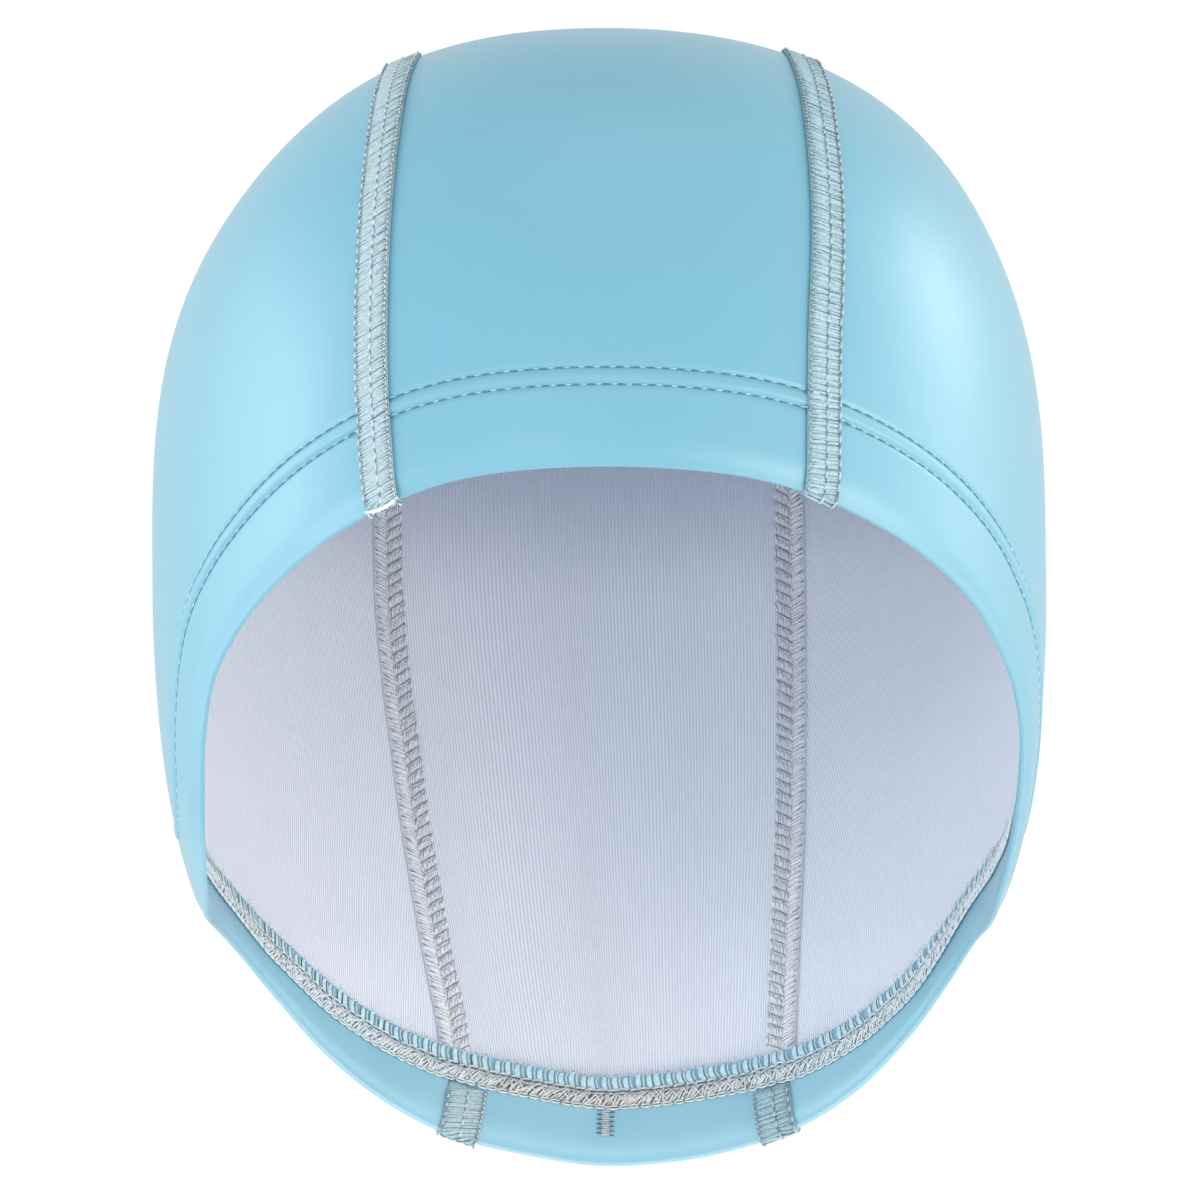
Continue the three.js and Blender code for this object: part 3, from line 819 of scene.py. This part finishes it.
def beads(line, first, aside, pitch, share, size):
    """A needle row: a bead of a size over `share` of each pitch and, between beads, a dip of painted shade.
    """
    step = np.linspace(0, 1, 5)[None]
    drift = aside + rng.normal(0, 0.05, first.shape) + 0.1 * (step - 0.5)
    arch = 0.66 + 0.2 * np.sin(np.pi * step) + rng.normal(0, 0.04, first.shape)
    lit = strands(line, first + (step - 0.5) * pitch * share, drift, arch, size, 0.36)
    short = step[:, ::2] - 0.5
    between = first + pitch / 2 + short * pitch * 0.42
    dip = strands(line, between, aside, 0.84, size * 0.9, 0.34)
    return lit, dip


CROSSING_PITCH = 0.53


def seam_band(line, pitch, lean, middle, sway, ticks, tie_width, needles, lip):
    """Bed, two tones of crossing thread, ties and edge ticks dark with painted shade, needle rows and the
    brow's lip.

    A crossing thread's way along is its start + lean * aside + a wander of about `sway`.
    """
    length = line["walked"][-1]
    half = BAND_WIDTH / 2
    body = bed(line, half - 0.15, 0.8, 0.05, lambda s, a: 0.28 + padded(a - middle * 0.5, half, 0.22))
    a = np.linspace(-half, half, 6)[None]
    lift = 0.4 + padded(a - middle, half, 0.3)
    fine = np.arange(1.0, length - 1.0, CROSSING_PITCH)[:, None]
    wander = rng.normal(0, sway, fine.shape) + rng.normal(0, sway * 0.6, (len(fine), 6))
    height = lift + rng.normal(0, 0.035, fine.shape)
    pearl, mint = (
        strands(line, (fine + lean * a + wander)[k::2], a, height[k::2], 0.56, 0.32) for k in (0, 1)
    )
    start = np.arange(1.2, length - 1.2, pitch)[:, None]
    b = np.linspace(middle, half, 5)[None]
    tie = start + pitch / 2 + lean * b + rng.normal(0, sway * 0.4, start.shape)
    # Ties between the bundles and ticks at the edges are dark: painted shade in the gaps.
    dark = [strands(line, tie, b * 0.97, 0.44 + padded(b - middle, half, 0.28), tie_width, 0.3)]
    tick = np.arange(1.2, length - 1.2, ticks)[:, None]
    for edge in (-1, 1):
        b = edge * np.linspace(half - 1.0, half, 4)[None]
        dark.append(strands(line, tick + lean * b * 1.2, b, 0.48 + 0.05 * edge * b / half, 0.2, 0.3, 4))
    lit = []
    for row, each, share, size in needles:
        first = np.arange(1.3, length - 1.3, each)[:, None]
        first = first + lean * row + rng.normal(0, 0.07, first.shape)
        row_lit, row_dark = beads(line, first, row, each, share, size)
        lit.append(row_lit)
        dark.append(row_dark)
    if lip:
        across = np.linspace(-half - 0.1, half + 0.1, 13)[None]
        lowest = line["walked"][line["points"][:120, 2].argmin()]
        under_fold = lowest + 0.35 + 0.3 * (across / half) ** 2
        lit.append(strands(line, under_fold, across, 0.6 + 0 * across, 0.8, 0.6, 8))
    return joined([body, pearl, mint, joined(lit)[:2], joined(dark)[:2]])


# Each needle row: place across, stitch length, the bead's share of it and the bead's width.
BANDS = {
    "left": {
        "pitch": 1.9, "lean": 0.36, "middle": 0.1, "sway": 0.05,
        "ticks": 1.0, "tie_width": 0.12, "lip": True,
        "needles": ((-2.95, 1.9, 0.55, 0.26), (0.1, 1.9, 0.62, 0.34), (2.95, 1.0, 0.6, 0.28)),
    },
    "right": {
        "pitch": 2.07, "lean": -0.03, "middle": 0.35, "sway": 0.09,
        "ticks": 1.05, "tie_width": 0.2, "lip": False,
        "needles": ((-2.95, 1.05, 0.5, 0.28), (0.35, 2.07, 0.66, 0.46), (2.95, 2.07, 0.84, 0.44)),
    },
}

# The finishes of bed, pearl and mint threads, needle beads and the dark parts, which are painted shade.
BAND_FINISHES = {
    "left": [thread_bed, pale_thread, mint_thread, white_thread, shade_thread],
    "right": [thread_bed, mint_thread, thread_bed, pale_thread, shade_thread],
}
for name, settings in BANDS.items():
    points, triangles, finish = seam_band(OUTER[name], **settings)
    band = make_piece(
        f"outer_seam_{name}_thread", points, triangles, BAND_FINISHES[name], finish, crease=120
    )
    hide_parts(f"outer_seam_{name}")

# %% [markdown]
# ## Seam bands inside
# Inside, the looper threads of the same seam show as a narrower grey band. On one side of its middle
# they cross in slanted bundles, on the other they lock in small knots. Knots and ties are dark with
# painted shade.


# %% Inner bands
INNER_WIDTH = 6.3

# How far an inner band runs on under the hem's raw edge.
UNDER_FLAP = 2.4


def inner_line(side):
    """A seam's line on the knitted face, between the two flaps, seen from inside the cap."""
    ends = [CLIMB[side, 0.0, end][0](HEM_DEPTH - UNDER_FLAP) for end in (0, 1)]
    wall = on_cloth(seam_point(side, np.linspace(*ends, 700)), -CLOTH)
    return line_on_cloth(wall, -outward(wall))


def inner_band(line, pitch, lean, toward_middle):
    """Bed with, towards the cap's middle, cells of fibre parted by slanted ties, and knots beside them."""
    length = line["walked"][-1]
    half = INNER_WIDTH / 2
    start = np.arange(0.9, length - 0.6, pitch)[:, None]
    body = bed(line, half - 0.1, 0.8, 0.08, lambda s, a: 0.45 + padded(a, half, 0.2))
    vertex = -0.15 * half
    pale = []
    step = np.linspace(0, 1, 4)[None]
    for place_across in np.linspace(vertex + 0.15, half - 0.2, 8):
        rise = -lean * (place_across - vertex)
        along = start + rise + (step - 0.5) * pitch * 0.84 + rng.normal(0, 0.14, start.shape)
        aside = place_across + rng.normal(0, 0.11, start.shape)
        aside = aside + rng.normal(0, 0.35, start.shape) * (step - 0.5)
        bulge = 0.6 + 0.26 * np.sin(np.pi * step)
        pale.append(strands(line, along, aside * toward_middle, bulge, 0.4, 0.34))
    b = np.linspace(vertex + 0.3, -half, 4)[None]
    for k in range(4):
        away = (k - 1.5) * 0.48 + rng.normal(0, 0.16, start.shape)
        along = start + away - lean * 0.9 * (vertex - b)
        pale.append(strands(line, along, b * toward_middle, 0.62 + padded(b, half, 0.2), 0.44, 0.36))
    a = np.linspace(vertex, half, 5)[None]
    tie = start + pitch / 2 - lean * (a - vertex) + rng.normal(0, 0.05, (len(start), 5))
    tie = tie + rng.normal(0, 0.06, start.shape)
    knot = np.linspace(-half * 0.98, -half * 0.52, 4)[None]
    late = start + pitch / 2
    # Ties and knots are dark: painted shade in the gaps between bundles and where the thread locks.
    dark = [
        strands(line, tie, a * toward_middle, 0.68 + padded(a, half, 0.16), 0.2, 0.26),
        strands(line, start + 0.62 * (knot + half), knot * toward_middle, 0.72 + 0.1 * step, 0.28, 0.3),
        strands(line, late + 0.5 * (knot + half), knot * 0.9 * toward_middle, 0.7, 0.18, 0.24),
    ]
    return joined([body, joined(pale)[:2], joined(dark)[:2]])


for name, side in SIDES.items():
    line = inner_line(side)
    middle_way = np.sign(line["across"][350, 0]) * -side
    points, triangles, finish = inner_band(line, 2.15, 0.52, middle_way)
    finishes = [lining_bed, lining_thread, lining_shade]
    band = make_piece(f"inner_seam_{name}_thread", points, triangles, finishes, finish, crease=120)
    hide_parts(f"inner_seam_{name}")

# %% [markdown]
# ## The hem's stitching
# A twin needle machine sews the hem: two straight rows outside, and inside a looper thread that runs in
# a chain over the flap. The needle rows go all round, also over the seams. The chain is beige near the
# nape and paler towards the ears. Overlock loops and loose fibre cover the raw edge beside it, which are
# drawn as wide pale loops with a few stray hairs, because single fibres are too fine to show.

# %% Needle rows outside
NEEDLE_PITCH = 2.55


def ring_line(height, inside=False):
    """A line at one distance from the fold, on the outer wall or on the flap inside.

    It runs on a little past the nape, and comes with the two distances along it between which it goes
    round once.
    """
    azimuth = np.linspace(-184, 184, 1473)
    p = turned_in(azimuth, height, 0.0) if inside else standing(azimuth, height, 0.0)
    line = line_on_cloth(p, -outward(p) if inside else outward(p))
    return line, line["walked"][16], line["walked"][-17]


def on_band(line, extra):
    """How far to raise stitches where a line runs over a seam band, as a smooth bump."""
    rise = np.zeros(len(line["walked"]))
    for name in SIDES:
        middle = OUTER[name]["points"]
        for block in np.array_split(np.arange(len(rise)), 12):
            apart = np.linalg.norm(line["points"][block][:, None] - middle[None, ::4], axis=-1).min(1)
            rise[block] = np.maximum(rise[block], extra * np.clip((4.2 - apart) / 1.1, 0, 1))
    return rise


# Dashes are painted shade where the thread sinks in; the glints between are the thread's pale blue and
# painted highlight.
dashes, glints = [], []
for height in NEEDLE_ROWS:
    line, first, last = ring_line(height)
    rise = on_band(line, 0.85)
    start = np.linspace(first, last, round((last - first) / NEEDLE_PITCH), endpoint=False)[:, None]
    start = start + rng.normal(0, 0.05, start.shape)
    step = np.linspace(0, 1, 5)[None]
    along = start + (step - 0.5) * 1.6
    dashes.append(strands(line, along, 0.03, np.interp(along, line["walked"], rise) - 0.2, 0.34, 0.3))
    along = start + NEEDLE_PITCH / 2 + (step - 0.5) * 1.1
    glints.append(strands(line, along, -0.06, np.interp(along, line["walked"], rise) - 0.14, 0.3, 0.3))
points, triangles, finish = joined([joined(dashes)[:2], joined(glints)[:2]])
rows = make_piece("hem_needle_rows", points, triangles, [needle_shade, needle_light], finish, crease=120)

# %% Chain inside
CHAIN_PITCH = 2.1
line, first, last = ring_line((COVER_FROM + COVER_TO) / 2, inside=True)
rise = on_band(line, 0.3)
start = np.linspace(first, last, round((last - first) / CHAIN_PITCH), endpoint=False)[:, None]
start = start + rng.normal(0, 0.1, start.shape)
upward = np.sign(line["across"][720, 2])
step = np.linspace(0, 1, 5)[None]


def stitched(along, aside, lift, width, height, sides=4):
    """Strands on the chain's line, raised where it crosses a seam band; aside is counted upwards."""
    raised = lift + np.interp(along, line["walked"], rise)
    return strands(line, along, aside * upward, raised, width, height, sides)


def chain_row(aside, bulge, wander):
    """Links along the chain: pairs of strands that bow apart and meet where the next link starts."""
    shift = rng.normal(0, wander, start.shape)
    bow = bulge * np.sin(np.pi * step)
    along = start + (step - 0.5) * 2.5 + shift
    return [
        stitched(along, aside + way * bow + shift * 0.5, 0.42 + 0.2 * bow, 0.42, 0.4) for way in (-1, 1)
    ]


rope = chain_row(-1.8, 0.34, 0.06) + chain_row(1.4, 0.5, 0.2)
for k in range(4):
    tilt = rng.normal(1.0, 0.45, start.shape)
    slant = 1.3 - 2.8 * step + rng.normal(0, 0.2, start.shape)
    bulge = 0.42 + (0.3 + rng.normal(0, 0.06, start.shape)) * np.sin(np.pi * step)
    rope.append(stitched(start + k * 0.54 + (step - 0.5) * 1.9 * tilt, slant, bulge, 0.46, 0.4))
back = start + 0.6 - (step - 0.5) * 1.8
rope.append(stitched(back, 1.2 - 2.4 * step, 0.66 + 0.2 * np.sin(np.pi * step), 0.34, 0.34))
s = np.linspace(first, last, 420)[:, None]
aside = np.linspace(-1.6, 1.5, 5)[None]
s, aside = np.broadcast_arrays(s, aside)
over_band = np.interp(s, line["walked"], rise)
high = place(line, s, aside * upward, 0.3 + 0.12 * np.cos(aside) + over_band).reshape(-1, 3)
low = place(line, s, aside * upward, np.full(s.shape, 0.05)).reshape(-1, 3)
points, faces = shell(high, low, grid_triangles(np.arange(s.size).reshape(s.shape)))
chain_bed = points, facing_out(points, faces)
valley = 0.5 + 0.2 * np.sin(np.pi * step)
# Dark strands in the chain's hollows: painted shade, dark grey at the nape and paler at the sides.
shadows = [
    stitched(start + 0.35 + (step - 0.5) * 1.9, 1.1 - 2.3 * step, valley, 0.28, 0.34),
    stitched(start + 1.25 + (step - 0.5) * 0.7, -1.8, 0.44, 0.44, 0.4),
    stitched(start + 1.25 + (step - 0.5) * 0.9, 1.4, 0.54, 0.36, 0.4),
    stitched(start + 1.05 + (step - 0.5) * 1.2, -0.3 + 0.9 * (step - 0.5), 0.6, 0.26, 0.34),
]
over = np.linspace(0, 1, 7)[None]
raw_edge = HEM_DEPTH - (COVER_FROM + COVER_TO) / 2
reach = raw_edge - 1.5 + rng.normal(0, 0.25, start.shape)
bowed = start + (0.8 + rng.normal(0, 0.3, start.shape)) * np.sin(np.pi * over * 0.8)
loops = [stitched(bowed, 1.5 + reach * over, 0.2 + 0.16 * np.sin(np.pi * over), 0.3, 0.24)]
fuzz = stitched(bowed + 1.0, 1.5 + reach * over * 0.96, 0.18 + 0.12 * np.sin(np.pi * over), 0.95, 0.16)
stray = first + rng.random((600, 1)) * (last - first)
lean = rng.normal(0, 1.0, stray.shape)
base = raw_edge - 0.5 + rng.normal(0, 0.5, stray.shape)
curl = over[:, ::2]
hairs = stitched(stray + lean * curl, base + curl, 0.16 + 0.3 * np.sin(np.pi * curl), 0.12, 0.12)
strings = [joined(rope)[:2], joined(shadows)[:2], joined([*loops, hairs])[:2], fuzz]
points, triangles, finish = joined([chain_bed, *strings])

# Bed, rope and the painted shadows turn paler somewhere between 8 and 34 degrees from the nape, twenty
# triangles at a time, and the fuzz has the last finish all round.
at_the_nape = [hem_bed, hem_thread, dark_and_shade_thread, white_thread]
at_the_sides = [mint_thread, white_thread, thread_bed, stray_thread]
LOOPS, FUZZ = 3, 4
from_nape = 180 - np.abs(azimuth_of(points[triangles[:, 0]]))
blend = rng.random(len(triangles) // 20 + 1).repeat(20)[: len(triangles)]
paler = (from_nape > 8 + 26 * blend) & (finish < LOOPS)
finish = np.where(finish == FUZZ, 7, finish + 4 * paler)
chain = make_piece("hem_chain_thread", points, triangles, at_the_nape + at_the_sides, finish, crease=120)
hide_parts("hem_cover_stitch")

# %% [markdown]
# ## The tack at the nape
# A short row of close satin stitches, each back over the last, holds the end of the hem's sewing. It is
# dense, so it stands up as a small ladder, with a few dark legs of the thread beside it.

# %% Nape tack
TACK_AZIMUTH = 179.0
azimuth = np.full(1, TACK_AZIMUTH)
p = np.concatenate([turned_in(azimuth, d, 0.0) for d in np.linspace(4.8, 12.0, 60)])
line = line_on_cloth(p, -outward(p))
start = np.arange(0.4, line["walked"][-1] - 0.3, 0.5)[:, None]
turn = np.where(np.arange(len(start)) % 2 == 0, 1, -1)[:, None]
hump = 0.35 + 0.25 * np.sin(np.pi * step)
satin = strands(line, start + 0.12 * step, turn * (1.7 * step - 0.85), hump, 0.5, 0.36)
legs = strands(line, start[::2] + 0.1 * step, 0.7 + 1.0 * step, 0.3 - 0.15 * step, 0.3, 0.26)
more = strands(line, start[1::2] + 0.1 * step, -0.7 - 1.0 * step, 0.3 - 0.15 * step, 0.3, 0.26)
points, triangles, finish = joined([satin, joined([legs, more])[:2]])
tack_thread = thread("grey_tack_nylon_thread", "#a4afb6", "#c8d0d5")
tack = make_piece("nape_tack_thread", points, triangles, [tack_thread, dark_and_shade_thread], finish, crease=120)
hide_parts("nape_tack")

# %% [markdown]
# ## Cloth stretched from flat pieces
# The three panels are flat pieces before they are sewn, and the head stretches them.

# %% [markdown]
# ## Camera, light and floor
# The photograph looks up a little from in front of the brow, from about 1.4 m, and is turned by half a
# degree. White studio light comes from everywhere. Two large soft boxes at the sides light the coat, two
# narrow strips draw the pale highlights on the shoulders, and one box each comes from the front and from
# above. Three low boxes reach into the opening and light the lining and the flap. A brighter white
# behind everything is seen by the camera alone.

# %% Camera
FOCAL_PIXELS = 7812
FRAME_PIXELS = 1200
DISTANCE = 1400
AIM_BELOW = 10.75
AIM_RIGHT = 0.18
yaw, pitch, roll = np.radians([1.0, 8.0, -0.5])
ahead = np.array([np.sin(yaw) * np.cos(pitch), np.cos(yaw) * np.cos(pitch), np.sin(pitch)])
level = np.array([np.cos(yaw), -np.sin(yaw), 0.0])
above = np.cross(level, ahead)
right = level * np.cos(roll) + above * np.sin(roll)
upright = above * np.cos(roll) - level * np.sin(roll)
camera = bpy.data.objects.new("camera", bpy.data.cameras.new("camera"))
bpy.context.scene.collection.objects.link(camera)
turned = np.eye(4)
turned[:3, :3] = np.stack([right, upright, -ahead], 1)
turned[:3, 3] = to_frame(above * -AIM_BELOW - ahead * DISTANCE + right * AIM_RIGHT)
camera.matrix_world = Matrix(turned)
camera.data.sensor_width = 36
camera.data.lens = camera.data.sensor_width * FOCAL_PIXELS / FRAME_PIXELS
camera.data.clip_start, camera.data.clip_end = 0.1, 20
bpy.context.scene.camera = camera

# %% White studio
bpy.context.scene.view_settings.view_transform = "Standard"
world = bpy.data.worlds.new("white_studio")
bpy.context.scene.world = world
world.use_nodes = True
tree = world.node_tree

# The white is 0.82 strong as light and 0.22 more where the camera sees it.
seen = add(tree, "ShaderNodeLightPath").outputs["Is Camera Ray"]
power = add(tree, "ShaderNodeMath", {"operation": "MULTIPLY_ADD"}, {1: 0.22, 2: 0.82}, {0: seen})
tree.links.new(power.outputs[0], tree.nodes["Background"].inputs["Strength"])
tree.nodes["Background"].inputs["Color"].default_value = (1, 1, 1, 1)


def area_light(name, place, aim, size, power, tint):
    """A rectangular soft light at `place`, facing `aim`, sized and placed in metres."""
    data = bpy.data.lights.new(name, "AREA")
    data.shape = "RECTANGLE"
    data.size, data.size_y = size
    data.energy = power
    data.color = linear(tint)[:3]
    lamp = bpy.data.objects.new(name, data)
    bpy.context.scene.collection.objects.link(lamp)
    place, aim = np.array(place, float), np.array(aim, float)
    back = unit(place - aim)
    side = unit(np.cross([0.0, 0.0, 1.0], back))
    turned = np.eye(4)
    turned[:3, :3] = np.stack([side, np.cross(back, side), back], 1)
    turned[:3, 3] = place
    lamp.matrix_world = Matrix(turned)


area_light("softbox_left", (-1.6, 0.25, 0.15), (0, 0, -0.1), (1.3, 1.4), 7.1, "#ffffff")
area_light("softbox_right", (1.6, 0.35, 0.3), (0, 0, -0.06), (0.9, 1.1), 4.8, "#fffafa")
area_light("strip_right", (1.3, 0.45, 0.52), (0, 0, -0.05), (0.3, 0.45), 2.2, "#ffffff")
area_light("strip_left", (-1.45, -0.02, 0.2), (0, 0, -0.1), (0.3, 0.4), 2.0, "#ffffff")
area_light("front_box_left", (-0.4, -1.35, -0.15), (0, 0, -0.1), (0.6, 0.6), 2.6, "#d5ebff")
area_light("top_box", (0.1, -0.5, 1.3), (0, 0, -0.1), (0.9, 0.9), 2.1, "#e4f3ff")
area_light("low_box_right", (0.8, -0.8, -0.45), (0, 0, -0.1), (0.6, 0.4), 4.7, "#fff1e4")
area_light("low_side_right", (1.25, -0.45, -0.35), (0, 0, -0.12), (0.5, 0.5), 3.4, "#fff6f2")
area_light("low_side_left", (-1.2, -0.6, -0.4), (0, 0, -0.12), (0.5, 0.5), 4.7, "#f9fdff")

# %% Floor
FLOOR_HALF = 3.0
FLOOR_HEIGHT = -0.6
floor_mesh = bpy.data.meshes.new("floor")
corners = [(x * FLOOR_HALF, y * FLOOR_HALF, FLOOR_HEIGHT) for x, y in ((-1, -1), (1, -1), (1, 1), (-1, 1))]
floor_mesh.from_pydata(corners, [], [(0, 1, 2, 3)])
floor = bpy.data.objects.new("floor", floor_mesh)
bpy.context.scene.collection.objects.link(floor)
paper, tree, shader = new_material("white_studio_paper", "#f2f3f4", 0.9)
floor_mesh.materials.append(paper)
